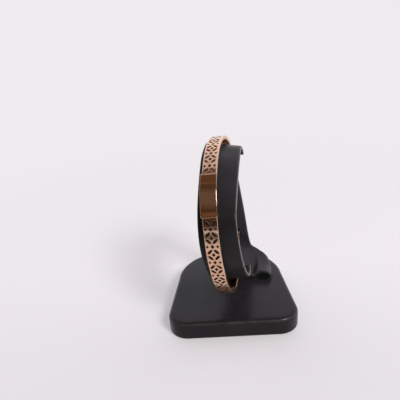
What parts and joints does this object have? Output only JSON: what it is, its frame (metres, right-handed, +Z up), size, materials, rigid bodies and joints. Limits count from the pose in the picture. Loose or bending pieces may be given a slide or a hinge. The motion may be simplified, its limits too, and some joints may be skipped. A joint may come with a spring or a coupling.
{
  "type": "bangle on display stand",
  "caption": "Hinged rose-gold bangle with an openwork front and a plain curved plaque, held upright on a small leatherette display stand with a curved collar.",
  "frame": {"origin": "middle of the stand base's underside, in the plane it rests on", "axes": "+Z up; +Y towards the stand's back, with the plaque and the straight edge of the base at -Y; +X to the right seen from the front"},
  "size_m": [0.0518, 0.0633, 0.0741],
  "materials": {
    "leatherette": "soft semi-gloss leatherette with a fine grain",
    "rose_gold": "polished rose gold plating"
  },
  "bodies": {
    "root": {"stand_base": "leatherette", "stand_support": "leatherette", "stand_collar": "leatherette", "bangle_front": "rose_gold", "bangle_back": "rose_gold", "plaque": "rose_gold", "clasp_plate": "rose_gold", "hinge_plate": "rose_gold"}
  },
  "joints": []
}
